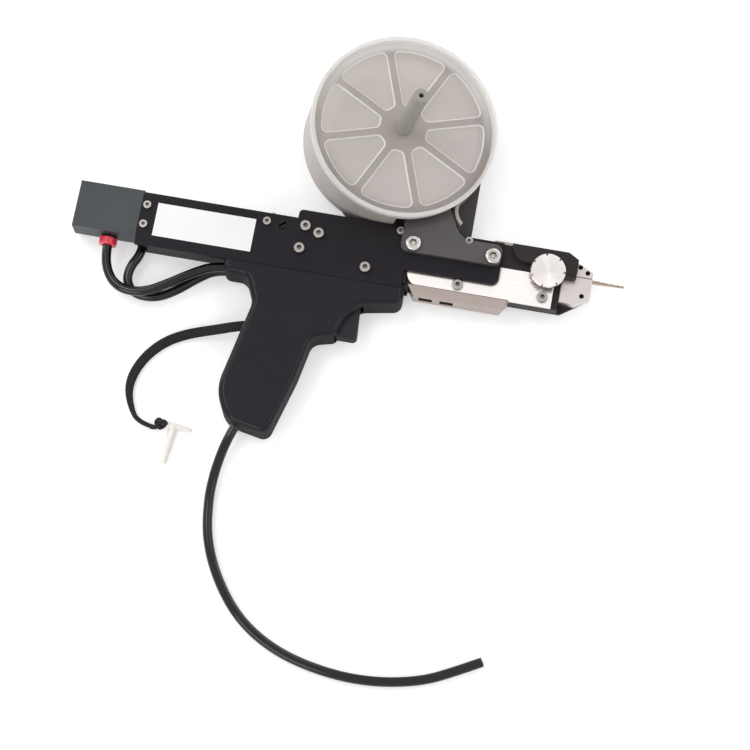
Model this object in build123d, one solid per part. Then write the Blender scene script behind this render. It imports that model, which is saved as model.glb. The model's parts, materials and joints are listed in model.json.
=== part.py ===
from build123d import *
import math
import os

# Air-powered tag attacher, lying on its left side.
# X runs forward to the needle, Y up to the reel, Z out of the right side.
# The left side plate's outer face lies on z = 0. Lengths are in millimetres, angles in degrees.

# Shared fits
overrun = 2.0            # a cut runs this far past the face it opens
running_gap = 0.05       # radial clearance of turning and sliding round fits
sliding_gap = 0.3        # clearance on each side of a sliding block
hole_gap = 0.2           # radial clearance of a screw in its hole
seat_gap = 0.02          # radial clearance of a piece pressed or seated in place
edge_break = 0.5         # chamfer on machined edges

# Side plates and rails
plate_thick = 3.0
body_gap = 20.0          # clear width between the side plates
body_rear = -107.5
body_front = 133.5       # front edge of the right plate
left_front = 75.0        # front edge of the left plate
body_top = 15.4
body_bottom = -18.0      # lower edge of the left plate and the base rail
right_bottom = -21.0     # lower edge of the right plate, which laps the grip
raise_rear = -4.0        # the plates stand higher from here forward
raise_top = 21.5
raise_radius = 3.0
step_x = 71.0            # the right plate's lower edge steps up here
step_bottom = -8.0
corner_radius = 5.0
base_rail_height = 4.0
top_rail_height = 5.4

# Air cylinder
block_length = 43.3
block_height = 32.0
block_depth = 25.0
block_heel = 9.0         # rounding of the block's lower left edge
cylinder_y = 0.5
bore_diameter = 13.0
bore_end_wall = 6.0
tube_wall = 1.5
tube_front = -42.0
tube_seat = 14.0         # length of tube inside the block
neck_length = 9.5
gland_thick = 6.0
gland_spigot = 6.0
piston_length = 10.0
piston_end_gap = 5.0     # left in front of the piston at the end of its stroke
seal_width = 1.8
seal_depth = 1.2
seal_inset = 2.0
rod_diameter = 6.0
rod_spigot_length = 6.0
stroke = 55.0

# Driver slide and ejector
slide_end_gap = 9.0      # left in front of the slide at the end of its stroke
slide_length = 24.0
rod_socket_depth = 10.0
guide_thick = 3.0
guide_front = 64.0
ejector_diameter = 1.0
ejector_setback = 3.0    # the ejector stops this far inside the needle's tip
ejector_socket_depth = 8.0
drive_y = 8.3
drive_z = 14.5

# Front frame, cover plate and guard rail
frame_rear = 66.0
frame_front = 174.5
frame_floor = 9.0
frame_bottom = -16.5
foot_front = 76.0        # the frame reaches the left plate behind this line
cover_rear = 73.0
cover_front = 170.0
cover_top = 5.7
cover_thick = 3.0
cover_corner = 8.0
guard_rear = 75.0
guard_front = 142.0
guard_height = 7.0
guard_depth = 14.0
guard_slant = 4.8
slot_length = 9.0
slot_width = 6.0
slot_depth = 4.0
slot_places = (88.0, 102.0)
stock_guide_rear = 127.0
stock_guide_front = 139.0
stock_guide_thick = 1.8

# Nose
nose_front = 183.5
nose_rear = 139.0
nose_thick = 5.0
nose_top = 21.8
nose_shoulder = 10.6     # lower edge of the nose block's rear part
nose_lobe = 10.0
nose_bottom = 4.9        # lower edge at its front
nose_chamfer_x = 7.0
nose_chamfer_y = 4.1
boss_radius = 8.0
jaw_front = 194.5
jaw_floor = 11.5
toe_front = 194.0        # the frame's toe under the jaws
toe_chamfer_x = 17.2
toe_chamfer_y = 12.1
jaw_top = 21.0
lower_jaw_bottom = -10.8
lower_jaw_chamfer_x = 10.0
lower_jaw_chamfer_y = 5.6
upper_jaw_top = 18.2
upper_jaw_slope = 5.5    # drop of the upper jaw's top towards its front
needle_rear = 178.0
needle_tip = 216.0
needle_diameter = 3.2
needle_tip_diameter = 1.8
needle_slot = 0.5
set_screw_diameter = 3.2
set_screw_length = 5.0
set_screw_sink = 0.8
set_screw_places = ((189.0, -4.6), (185.6, 15.0), (190.8, 11.8))

# Feed wheel
feed_x = 164.5
feed_y = 6.2
knob_radius = 11.5
knob_thick = 2.5
knob_gap = 0.4
knob_notches = 7
notch_width = 1.0
notch_depth = 1.5
shaft_diameter = 5.0
bushing_wall = 1.5
sprocket_radius = 9.0
sprocket_root = 6.5
sprocket_thick = 3.0
sprocket_gap = 0.6

# Reel
reel_x = 55.5
reel_base = 21.9         # lowest point of the case's skirt, clear of the body
reel_z = 45.0            # height of the rim plane on the reel's axis
reel_lean = 10.0         # the reel's axis leans forward, so its plane meets the needle
case_radius = 62.0
case_wall = 2.0
web_recess = 5.0
web_thick = 2.6
panel_depth = 1.0
panel_slope = 45.0       # draft of the panels' edges
panel_inner = 16.5
panel_margin = 6.0       # from the panels' outer ends to the skirt
panel_corner = 3.0
rib_count = 8
rib_width = 6.5          # between two panels' floors
rib_turn = -25.5
bead_height = 3.0
bead_proud = 0.8
mouth_start = -84.0
mouth_end = -38.5
lip_radius = 11.0        # inside of the lip that curls out at the mouth
lip_turn = 92.0
case_boss_radius = 9.0
case_boss_length = 8.0
hub_diameter = 10.6
journal_diameter = 9.6   # the hub where it turns in the case
hub_tip_diameter = 9.0
hub_front = 57.0         # tip of the hub in front of the rim plane
hub_taper = 8.0
hub_hole = 3.2
axle_diameter = 7.0
axle_flange_radius = 10.0
axle_flange_thick = 3.0
axle_front = 38.0
hub_lift = 0.3
support_top = 15.0
support_thick = 3.5
support_rear = 6.0
support_front = 111.0
support_upper = 128.0
support_corner = 30.0
support_tab_rear = 30.0
support_tab_front = 58.0
support_low = 46.0       # lower end of the plate's rear edge, inside the case's outline

# Reel bracket
bracket_thick = 4.0
bracket_rear = 66.0
bracket_front = 133.0
bracket_bottom = 3.7
bracket_foot = 18.2      # top edge of the foot beside the tongue
tongue_gap = 12.0        # from the tongue to the front edge of the case's mouth
tongue_top = 43.0
bracket_fillet = 12.0

# Grip
grip_rear = -46.8
grip_front = 73.2
grip_height = 115.0
grip_wall = 3.6
grip_edge = 4.0
grip_corner = 5.0
grip_outline_shares = (
    (0, 0, 0), (1, 0, 0), (1, 0.116, 1.2), (0.782, 0.157, 2.4), (0.707, 0.248, 3.2), (0.678, 0.363, 1),
    (0.5525, 0.396, 1.6), (0.509, 0.635, 4), (0.412, 1, 1.2), (0.172, 0.952, 3.2), (0.093, 0.778, 6),
    (0.197, 0.252, 2.4), (0.136, 0.098, 1.6), (0, 0.098, 1),
)
hose_gap = 0.1           # radial clearance of a hose in its socket
hose_spacing = 8.0       # the two short hoses enter the grip this far apart
hose_boss_y = -24.2
hose_socket = 8.0
grip_screw_shares = ((0.9, 0.045), (0.3, 0.55), (0.34, 0.88))
grip_screw_boss = 4.0

# Trigger and valve
trigger_width = 11.0
pivot_x = 40.0
pivot_y = -28.0
pivot_diameter = 4.0
trigger_length = 31.0
trigger_reach = 8.4      # foot of the finger face in front of the pivot
trigger_slant = 2.4      # the finger face's head stands back this far
trigger_back = 7.0       # rear face behind the pivot
trigger_head = 4.5       # radius of the trigger's head round its pin
trigger_toe = 3.0        # corner radius at the foot
trigger_round = 1.8      # rounding of its edges
trigger_slot_gap = 0.6
trigger_swing_room = 8.0
valve_y = -50.0
valve_diameter = 14.0
valve_bore = 8.0
valve_rear = -10.0
valve_front = 22.0
valve_end_wall = 3.0
valve_rib_thick = 3.0
stem_diameter = 4.0
stem_gap = 0.5
spool_rear = 2.0
spool_length = 12.0
spring_wire = 0.8
spring_turns = 5

# Fittings and cords
arc_share = 0.45         # share of the shorter run that each corner's arc takes
hose_diameter = 6.35
hose_bore = 4.3
fitting_x = -127.0
fitting_diameter = 10.5
fitting_length = 1.5
collar_diameter = 12.0
collar_length = 5.0
front_port_x = -104.0
front_port_z = 8.5
front_port_depth = 3.0
strap_diameter = 5.0
strap_pin_diameter = 3.0
knot_radius = 3.4
key_bar_length = 20.0
key_bar_diameter = 5.2
key_bar_tip = 2.6        # the bar tapers away from the strap
key_bar_round = 0.9
key_stem_length = 23.0
key_stem_width = 6.0
key_tip_width = 4.6
key_tip_thick = 4.2
key_stem_offset = -2.4
key_eye_diameter = 2.4

# Label and small fittings on the right plate
label_rear = -97.0
label_length = 66.0
label_bottom = -13.7
label_height = 22.9
label_thick = 0.25
adjuster_x = -13.3
adjuster_y = 8.6
adjuster_diameter = 5.5
adjuster_proud = 0.8
adjuster_slot = 1.6
adjuster_turn = 40.0
stop_pin_x = -21.0
stop_pin_z = 20.0
stop_pin_diameter = 2.0
stop_pin_proud = 2.2
stop_pin_depth = 3.0

# Screws: head diameter, head height, shank diameter, length under the head
small_screw = (5.4, 2.0, 3.0, 5.5)
cap_screw = (7.0, 3.0, 4.0, 5.8)
button_screw = (10.6, 3.6, 6.0, 14.0)
cover_screw = (6.6, 2.6, 3.5, 7.0)
slot_screw = (5.2, 2.4, 3.0, 9.0)
grip_screw = (5.6, 2.2, 3.0, 12.0)
socket_share = 0.5       # socket width as a share of the head
socket_depth_share = 0.6
dome_share = 0.45        # rounding of a button head as a share of its height
rear_screw_places = ((-104.0, 6.4), (-104.0, -7.1))
small_screw_places = ((-23.8, 9.0), (64.5, 17.7), (110.0, 18.4))
cap_screw_places = ((2.0, 10.0), (11.4, 6.5), (0.6, -5.8), (45.6, -11.4))
button_screw_places = ((74.2, 9.0), (127.3, 9.2))
cover_screw_places = ((107.4, -11.7), (163.5, -10.5))

# Routes of the cords, chosen by hand
rear_hose_route = (
    (-127, -15.5, 13), (-127, -29, 13), (-121, -43.5, 13.4), (-110.5, -50.5, 14.2), (-96, -50, 15.2),
    (-81, -41.5, 16.2), (-66, -31.5, 17), (-52, -24.2, 17), (-38.8, -24.2, 17),
)
front_hose_route = (
    (-104, -15, 8.5), (-104, -24, 8.5), (-111.5, -34, 8.2), (-109, -45, 7.2), (-101, -52.8, 6.6),
    (-88, -51.8, 6.8), (-76, -43, 7.4), (-64, -32.5, 8.4), (-51.5, -24.2, 9), (-38.8, -24.2, 9),
)
supply_hose_route = (
    (-16, -120, 13), (-20, -129.5, 12.8), (-23.3, -139.5, 11.8), (-26, -150.5, 8.6), (-27.9, -163, 5),
    (-28.3, -178, 3.4), (-24, -202, 3.4), (-12.5, -226, 3.4), (6.5, -249.5, 3.4), (33.5, -265.5, 3.4),
    (66, -274, 3.4), (97, -275, 3.4), (127, -269, 3.4), (149, -259, 3.4), (163.8, -250.7, 3.4),
)
strap_route = (
    (-18, -58, 13), (-30, -60.5, 13), (-42, -63.5, 9.5), (-54, -66.2, 5), (-66, -69.8, 2.7),
    (-78, -76.8, 2.7), (-88, -88, 2.7), (-94, -100.5, 2.7), (-95.5, -113, 2.7), (-92, -124, 2.7),
    (-85, -133, 2.7), (-74.2, -134, 2.7),
)
key_place = (-58.0, -133.4)
key_turn = -5.0

# Levels and places that follow from the sizes above
right_inner = plate_thick + body_gap
right_face = right_inner + plate_thick
mid_z = right_face / 2
inner_bottom = body_bottom + base_rail_height
inner_top = body_top - top_rail_height
cover_seat = right_inner - cover_thick
nose_face = right_inner + nose_thick
tube_diameter = bore_diameter + 2 * tube_wall
reel_y = reel_base + case_radius
panel_outer = case_radius - case_wall - panel_margin
tongue_front = reel_x + case_radius * math.cos(math.radians(mouth_end)) - tongue_gap
reel_place = Pos(reel_x, reel_y, reel_z) * Rot(0, reel_lean, 0)
support_floor = support_top - support_thick
valve_plug_front = valve_rear + valve_end_wall
piston_rest = tube_front - gland_spigot - piston_end_gap - stroke - piston_length
slide_rest = frame_rear - slide_end_gap - stroke - slide_length
ejector_rest_tip = needle_tip - ejector_setback - stroke
block_low = cylinder_y - block_height / 2


def block(x0, x1, y0, y1, z0, z1):
    """A box between two corners."""
    centre = Pos((x0 + x1) / 2, (y0 + y1) / 2, (z0 + z1) / 2)
    return centre * Box(x1 - x0, y1 - y0, z1 - z0)


def rod_x(x0, x1, y, z, diameter):
    return Pos((x0 + x1) / 2, y, z) * Rot(0, 90, 0) * Cylinder(diameter / 2, x1 - x0)


def rod_y(x, y0, y1, z, diameter):
    return Pos(x, (y0 + y1) / 2, z) * Rot(90, 0, 0) * Cylinder(diameter / 2, y1 - y0)


def rod_z(x, y, z0, z1, diameter):
    return Pos(x, y, (z0 + z1) / 2) * Cylinder(diameter / 2, z1 - z0)


def panel(corners, z0, z1):
    """A flat plate from corners (x, y, radius), a radius of zero being sharp."""
    points = [(x, y) for x, y, radius in corners]
    radii = [radius for x, y, radius in corners]
    face = make_face(FilletPolyline(points, radius=radii, close=True))
    return Pos(0, 0, z0) * extrude(face, z1 - z0)


def break_top(solid):
    """Chamfer the outer edge of the highest face."""
    face = solid.faces().sort_by(Axis.Z)[-1]
    return chamfer(face.outer_wire().edges(), edge_break)


def screw(sizes, domed=False):
    """A socket screw pointing down, with its seat at the origin."""
    head_diameter, head_height, shank_diameter, length = sizes
    head = Pos(0, 0, head_height / 2) * Cylinder(head_diameter / 2, head_height)
    rim = head.edges().filter_by(GeomType.CIRCLE).sort_by(Axis.Z)[-1]
    if domed:
        head = fillet(rim, head_height * dome_share)
    else:
        head = chamfer(rim, head_height * dome_share / 4)
    socket_depth = head_height * socket_depth_share
    socket = extrude(RegularPolygon(head_diameter * socket_share / 2, 6), socket_depth + overrun)
    shank = Pos(0, 0, -length / 2) * Cylinder(shank_diameter / 2, length)
    return head + shank - Pos(0, 0, head_height - socket_depth) * socket


def screw_set(sizes, places, seat, domed=False):
    """Separate copies of a screw on places (x, y) at one seat height."""
    return Compound([Pos(x, y, seat) * screw(sizes, domed) for x, y in places])


def drill(solid, sizes, places, seat):
    """Clearance holes for the shanks of a screw set."""
    diameter = sizes[2] + 2 * hole_gap
    for x, y in places:
        solid -= rod_z(x, y, seat - sizes[3] - hole_gap, seat + overrun, diameter)
    return solid


def drill_right_plate_screws(solid):
    """Every hole that the screws on the right plate make on their way in."""
    solid = drill(solid, small_screw, rear_screw_places + small_screw_places, right_face)
    solid = drill(solid, cap_screw, cap_screw_places, right_face)
    return drill(solid, button_screw, button_screw_places, right_face + bracket_thick)


def left_side_plate():
    corners = (
        (body_rear, body_bottom, 0), (left_front, body_bottom, 0), (left_front, raise_top, 0),
        (raise_rear, raise_top, raise_radius), (raise_rear, body_top, 0), (body_rear, body_top, 0),
    )
    return panel(corners, 0, plate_thick)


def right_side_plate():
    corners = (
        (body_rear, right_bottom, 0), (step_x, right_bottom, 0), (step_x, step_bottom, 0),
        (body_front, step_bottom, corner_radius), (body_front, raise_top, 0),
        (raise_rear, raise_top, raise_radius), (raise_rear, body_top, 0), (body_rear, body_top, 0),
    )
    plate = break_top(panel(corners, right_inner, right_face))
    return drill_right_plate_screws(plate - adjuster_hole())


def base_rail():
    rail = block(body_rear, frame_rear, body_bottom, inner_bottom, plate_thick, right_inner)
    port_top = body_bottom + front_port_depth
    port_diameter = hose_diameter + 2 * hose_gap
    return rail - rod_y(front_port_x, body_bottom - overrun, port_top, front_port_z, port_diameter)


def top_rail():
    rail = block(body_rear, frame_rear, inner_top, body_top, plate_thick, right_inner)
    rail -= stop_pin_hole()
    rail -= adjuster_hole()
    return drill_right_plate_screws(rail)


def adjuster_hole():
    low = right_inner - guide_thick
    return rod_z(adjuster_x, adjuster_y, low, right_face + overrun, adjuster_diameter + 2 * hole_gap)


def stop_pin_hole():
    depth = body_top - stop_pin_depth
    return rod_y(stop_pin_x, depth, body_top + overrun, stop_pin_z, stop_pin_diameter + 2 * seat_gap)


def stop_pin():
    low = body_top - stop_pin_depth
    return rod_y(stop_pin_x, low, body_top + stop_pin_proud, stop_pin_z, stop_pin_diameter)


def reel_mount_block():
    mount = block(raise_rear, frame_rear, body_top, raise_top, plate_thick, right_inner)
    corner = mount.edges().filter_by(Axis.Z).group_by(Axis.Y)[-1].sort_by(Axis.X)[0]
    mount = fillet(corner, raise_radius)
    tab_top = raise_top + overrun
    tab = block(support_tab_rear, support_tab_front, body_top, tab_top, support_floor, support_top)
    return drill_right_plate_screws(mount - tab)


def cylinder_block():
    rear = body_rear - block_length
    z_low = mid_z - block_depth / 2
    shell = block(rear, body_rear, block_low, block_low + block_height, z_low, z_low + block_depth)
    heel = shell.edges().filter_by(Axis.X).group_by(Axis.Z)[0].sort_by(Axis.Y)[0]
    shell = break_top(fillet(heel, block_heel))
    neck_front = body_rear + neck_length
    shell += block(body_rear, neck_front, inner_bottom, inner_top, plate_thick, right_inner)
    shell -= rod_x(rear + bore_end_wall, neck_front, cylinder_y, mid_z, bore_diameter)
    seat = tube_diameter + 2 * seat_gap
    shell -= rod_x(neck_front - tube_seat, neck_front + overrun, cylinder_y, mid_z, seat)
    shell -= rod_y(fitting_x, block_low - overrun, cylinder_y, mid_z, hose_bore)
    return drill(shell, small_screw, rear_screw_places, right_face)


def cylinder_tube():
    rear = body_rear + neck_length - tube_seat
    tube = rod_x(rear, tube_front, cylinder_y, mid_z, tube_diameter)
    return tube - rod_x(rear - overrun, tube_front + overrun, cylinder_y, mid_z, bore_diameter)


def rod_gland():
    front = tube_front + gland_thick
    gland = block(tube_front, front, inner_bottom, inner_top, plate_thick, right_inner)
    spigot = bore_diameter - 2 * seat_gap
    gland += rod_x(tube_front - gland_spigot, tube_front, cylinder_y, mid_z, spigot)
    bore = rod_diameter + 2 * running_gap
    return gland - rod_x(tube_front - gland_spigot - overrun, front + overrun, cylinder_y, mid_z, bore)


def seal_ring(rear):
    outer = rod_x(rear, rear + seal_width, cylinder_y, mid_z, bore_diameter - 2 * running_gap)
    inner = bore_diameter - 2 * seal_depth
    return outer - rod_x(rear - overrun, rear + seal_width + overrun, cylinder_y, mid_z, inner)


def seal_places():
    far = piston_rest + piston_length - seal_inset - seal_width
    return (piston_rest + seal_inset, far)


def piston_seals():
    return Compound([seal_ring(rear) for rear in seal_places()])


def piston():
    front = piston_rest + piston_length
    body = rod_x(piston_rest, front, cylinder_y, mid_z, bore_diameter - 4 * running_gap)
    for rear in seal_places():
        groove = rod_x(rear, rear + seal_width, cylinder_y, mid_z, bore_diameter)
        core = bore_diameter - 2 * seal_depth - 2 * seat_gap
        body -= groove - rod_x(rear, rear + seal_width, cylinder_y, mid_z, core)
    socket = rod_diameter + 2 * seat_gap
    return body - rod_x(front - rod_spigot_length, front + overrun, cylinder_y, mid_z, socket)


def piston_rod():
    rear = piston_rest + piston_length - rod_spigot_length
    return rod_x(rear, slide_rest + rod_socket_depth, cylinder_y, mid_z, rod_diameter)


def driver_slide():
    front = slide_rest + slide_length
    low = inner_bottom + sliding_gap
    high = inner_top - sliding_gap
    top_z = right_inner - guide_thick - sliding_gap
    slide = block(slide_rest, front, low, high, plate_thick + sliding_gap, top_z)
    slide = chamfer(slide.edges().filter_by(Axis.Y), edge_break)
    rod_seat = rod_diameter + 2 * seat_gap
    slide -= rod_x(slide_rest - overrun, slide_rest + rod_socket_depth, cylinder_y, mid_z, rod_seat)
    ejector_seat = ejector_diameter + 2 * seat_gap
    return slide - rod_x(front - ejector_socket_depth, front + overrun, drive_y, drive_z, ejector_seat)


def slide_guide():
    rear = tube_front + gland_thick
    guide = block(rear, guide_front, inner_bottom, inner_top, right_inner - guide_thick, right_inner)
    return drill_right_plate_screws(guide - adjuster_hole())


def ejector_rod():
    rear = slide_rest + slide_length - ejector_socket_depth
    return rod_x(rear, ejector_rest_tip, drive_y, drive_z, ejector_diameter)


def sprocket_pocket():
    floor = cover_seat - sprocket_thick - 2 * sprocket_gap
    return rod_z(feed_x, feed_y, floor, right_inner + overrun, 2 * (sprocket_radius + sprocket_gap))


def front_frame():
    frame = block(foot_front, frame_front, frame_bottom, raise_top, frame_floor, cover_seat)
    frame += block(foot_front, frame_front, cover_top, raise_top, cover_seat, right_inner)
    frame += block(frame_rear, foot_front, frame_bottom, raise_top, plate_thick, cover_seat)
    frame += block(frame_rear, foot_front, cover_top, raise_top, cover_seat, right_inner)
    frame += block(frame_rear, cover_rear, frame_bottom, cover_top, cover_seat, right_inner)
    toe = (
        (frame_front, frame_bottom, 0), (toe_front - toe_chamfer_x, frame_bottom, 0),
        (toe_front, frame_bottom + toe_chamfer_y, 0), (toe_front, drive_y, 0), (frame_front, drive_y, 0),
    )
    frame += panel(toe, frame_floor, jaw_floor)
    bore = ejector_diameter + 2 * running_gap
    frame -= rod_x(frame_rear - overrun, frame_front + overrun, drive_y, drive_z, bore)
    frame -= sprocket_pocket()
    frame = drill(frame, cover_screw, cover_screw_places, right_inner)
    frame -= slot_screw_holes()
    return drill_right_plate_screws(frame)


def cover_plate():
    corners = (
        (cover_rear, frame_bottom, cover_corner), (cover_front, frame_bottom, 0),
        (cover_front, cover_top, 0), (cover_rear, cover_top, 0),
    )
    plate = break_top(panel(corners, cover_seat, right_inner))
    plate -= rod_z(feed_x, feed_y, 0, right_inner + overrun, shaft_diameter + 2 * sprocket_gap)
    return drill(plate, cover_screw, cover_screw_places, right_inner)


def guard_rail():
    low = frame_bottom - guard_height
    corners = (
        (guard_rear, frame_bottom, 0), (guard_rear + guard_slant, low, 0),
        (guard_front - guard_slant, low, 0), (guard_front, frame_bottom, 0),
    )
    rail = panel(corners, right_inner - guard_depth, right_inner)
    z = right_inner - guard_depth / 2
    for x in slot_places:
        slot_floor = low + slot_depth
        half_width = slot_width / 2
        half = slot_length / 2
        rail -= block(x - half, x + half, low - overrun, slot_floor, z - half_width, z + half_width)
    return rail - slot_screw_holes()


def slot_screw_holes():
    z = right_inner - guard_depth / 2
    seat = frame_bottom - guard_height + slot_depth
    diameter = slot_screw[2] + 2 * hole_gap
    holes = [rod_y(x, seat - overrun, seat + slot_screw[3] + hole_gap, z, diameter) for x in slot_places]
    return holes


def guard_screws():
    z = right_inner - guard_depth / 2
    seat = frame_bottom - guard_height + slot_depth
    return Compound([Pos(x, seat, z) * Rot(90, 0, 0) * screw(slot_screw) for x in slot_places])


def stock_guide():
    high = raise_top + stock_guide_thick
    return block(stock_guide_rear, stock_guide_front, raise_top, high, frame_floor, right_inner)


def nose_block():
    corners = (
        (nose_rear, nose_top, 0), (nose_rear, nose_shoulder, nose_lobe), (feed_x, nose_shoulder, 0),
        (feed_x, nose_bottom, 0), (nose_front, nose_bottom, 0), (nose_front, nose_top - nose_chamfer_y, 0),
        (nose_front - nose_chamfer_x, nose_top, 0),
    )
    nose = panel(corners, right_inner, nose_face)
    nose += rod_z(feed_x, feed_y, right_inner, nose_face, 2 * boss_radius)
    nose = break_top(nose)
    return nose - rod_z(feed_x, feed_y, 0, nose_face + overrun, bushing_diameter() + 2 * seat_gap)


def bushing_diameter():
    return shaft_diameter + 2 * bushing_wall


def feed_bushing():
    bush = rod_z(feed_x, feed_y, right_inner, nose_face, bushing_diameter())
    return bush - rod_z(feed_x, feed_y, 0, nose_face + overrun, shaft_diameter + 2 * running_gap)


def knob_floor():
    return nose_face + knob_gap


def feed_knob():
    top = knob_floor() + knob_thick
    knob = break_top(rod_z(feed_x, feed_y, knob_floor(), top, 2 * knob_radius))
    half = notch_width / 2
    cutter = block(knob_radius - notch_depth, knob_radius + overrun, -half, half, 0, top + overrun)
    for turn in range(knob_notches):
        knob -= Pos(feed_x, feed_y, 0) * Rot(0, 0, turn * 360 / knob_notches) * cutter
    return knob - rod_z(feed_x, feed_y, 0, knob_floor() + knob_thick / 2, shaft_diameter + 2 * seat_gap)


def sprocket_floor():
    return cover_seat - sprocket_thick - sprocket_gap


def feed_shaft():
    return rod_z(feed_x, feed_y, sprocket_floor(), knob_floor() + knob_thick / 2, shaft_diameter)


def feed_sprocket():
    points = []
    for step in range(2 * knob_notches):
        radius = sprocket_radius if step % 2 == 0 else sprocket_root
        angle = math.radians(step * 180 / knob_notches)
        points.append((radius * math.cos(angle), radius * math.sin(angle)))
    wheel = extrude(make_face(Polyline(points, close=True)), sprocket_thick)
    wheel = Pos(feed_x, feed_y, sprocket_floor()) * wheel
    return wheel - rod_z(feed_x, feed_y, 0, right_face, shaft_diameter + 2 * seat_gap)


def needle_seat():
    seat = needle_diameter + 2 * seat_gap
    return rod_x(needle_rear, jaw_front + overrun, drive_y, drive_z, seat)


def set_screw_holes():
    hole = set_screw_diameter + 2 * seat_gap
    depth = jaw_top - set_screw_sink - set_screw_length
    return [rod_z(x, y, depth, right_inner + overrun, hole) for x, y in set_screw_places]


def ejector_path():
    return rod_x(0, jaw_front, drive_y, drive_z, ejector_diameter + 2 * running_gap)


def lower_jaw():
    corners = (
        (frame_front, lower_jaw_bottom, 0), (jaw_front - lower_jaw_chamfer_x, lower_jaw_bottom, 0),
        (jaw_front, lower_jaw_bottom + lower_jaw_chamfer_y, 0), (jaw_front, drive_y, 0),
        (frame_front, drive_y, 0),
    )
    jaw = break_top(panel(corners, jaw_floor, jaw_top))
    return jaw - needle_seat() - ejector_path() - set_screw_holes()


def upper_jaw():
    corners = (
        (frame_front, drive_y, 0), (jaw_front, drive_y, 0), (jaw_front, upper_jaw_top - upper_jaw_slope, 0),
        (nose_front, upper_jaw_top, 0), (frame_front, upper_jaw_top, 0),
    )
    jaw = break_top(panel(corners, jaw_floor, jaw_top))
    jaw += block(frame_front, nose_front, nose_shoulder, upper_jaw_top, jaw_top, right_inner)
    return jaw - needle_seat() - ejector_path() - set_screw_holes()


def needle():
    body = rod_x(needle_rear, jaw_front, drive_y, drive_z, needle_diameter)
    base = Plane((jaw_front, drive_y, drive_z), x_dir=(0, 1, 0), z_dir=(1, 0, 0))
    tip = Plane((needle_tip, drive_y, drive_z), x_dir=(0, 1, 0), z_dir=(1, 0, 0))
    body += loft([base * Circle(needle_diameter / 2), tip * Circle(needle_tip_diameter / 2)])
    bore = ejector_diameter + 2 * running_gap
    body -= rod_x(needle_rear - overrun, needle_tip + overrun, drive_y, drive_z, bore)
    half = needle_slot / 2
    return body - block(jaw_front, needle_tip + overrun, drive_y - half, drive_y + half, drive_z, right_face)


def nose_screws():
    top = jaw_top - set_screw_sink
    plugs = []
    for x, y in set_screw_places:
        plug = rod_z(x, y, top - set_screw_length, top, set_screw_diameter)
        socket = extrude(RegularPolygon(set_screw_diameter * socket_share / 2, 6), set_screw_diameter)
        plugs.append(plug - Pos(x, y, top - set_screw_diameter / 2) * socket)
    return Compound(plugs)


def below_support():
    """Everything lower than the reel support plate's upper face."""
    reach = 2 * case_radius
    return block(reel_x - reach, reel_x + reach, reel_y - reach, reel_y + reach, -reach, support_top)


def web_panel():
    """One recessed panel of the case's front web, centred on the local X axis."""
    half_turn = math.radians(180 / rib_count)
    side = rib_width / 2
    inner = math.sqrt(panel_inner ** 2 - side ** 2)
    outer = math.sqrt(panel_outer ** 2 - side ** 2)
    lower = [Vector(inner, side).rotate(Axis.Z, -math.degrees(half_turn))]
    lower.append(Vector(outer, side).rotate(Axis.Z, -math.degrees(half_turn)))
    upper = [Vector(point.X, -point.Y) for point in lower]
    edges = [
        Line(lower[0], lower[1]),
        ThreePointArc(lower[1], (panel_outer, 0), upper[1]),
        Line(upper[1], upper[0]),
        ThreePointArc(upper[0], (panel_inner, 0), lower[0]),
    ]
    face = make_face(edges)
    return fillet(face.vertices(), panel_corner)


def case_mouth():
    """The opening in the skirt, below the web."""
    middle = (mouth_start + mouth_end) / 2
    half = math.radians((mouth_end - mouth_start) / 2)
    reach = case_radius + overrun + bead_proud
    far = Vector(reach, reach * math.tan(half))
    wedge = make_face(Polyline((0, 0), (far.X, -far.Y), (far.X, far.Y), close=True))
    wedge -= Circle(panel_outer)
    depth = web_recess + web_thick
    return Rot(0, 0, middle) * Pos(0, 0, -depth) * extrude(wedge, -2 * case_radius)


def case_lip():
    """The skirt's end at the mouth, curled outwards."""
    depth = web_recess + web_thick
    middle = lip_radius + case_wall / 2
    start = Plane((case_radius - case_wall / 2, 0, 0), x_dir=(1, 0, 0), z_dir=(0, -1, 0))
    path = CenterArc((case_radius + lip_radius, 0), middle, 180, lip_turn)
    height = 2 * case_radius - depth
    lip = sweep(start * Rectangle(case_wall, height), path=path)
    return Rot(0, 0, mouth_end) * Pos(0, 0, -depth - height / 2) * lip


def reel_case():
    wall = Pos(0, 0, -case_radius) * Cylinder(case_radius, 2 * case_radius)
    wall += Pos(0, 0, -bead_height / 2) * Cylinder(case_radius + bead_proud, bead_height)
    inner = case_radius - case_wall
    wall -= Pos(0, 0, -case_radius) * Cylinder(inner, 3 * case_radius)
    wall -= case_mouth()
    wall += case_lip()
    web_floor = -web_recess - web_thick
    web = Pos(0, 0, web_floor + web_thick / 2) * Cylinder(inner, web_thick)
    web += Pos(0, 0, web_floor - case_boss_length / 2) * Cylinder(case_boss_radius, case_boss_length)
    hollow = extrude(web_panel(), panel_depth + overrun, taper=-panel_slope)
    recess = Pos(0, 0, -web_recess - panel_depth) * hollow
    for turn in range(rib_count):
        web -= Rot(0, 0, rib_turn + (turn + 1 / 2) * 360 / rib_count) * recess
    case = wall + web
    case -= Cylinder(journal_diameter / 2 + running_gap, 2 * case_radius)
    return reel_place * case - below_support()


def axle_foot():
    """Local height of the axle's lowest point, below the support plate's face."""
    return (support_top - reel_z) / math.cos(math.radians(reel_lean)) - axle_flange_radius


def flange_top():
    return axle_foot() + axle_flange_radius + axle_flange_thick


def reel_axle():
    height = flange_top() - axle_foot()
    axle = Pos(0, 0, axle_foot() + height / 2) * Cylinder(axle_flange_radius, height)
    length = axle_front - axle_foot()
    axle += Pos(0, 0, axle_foot() + length / 2) * Cylinder(axle_diameter / 2, length)
    return reel_place * axle - below_support()


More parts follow.
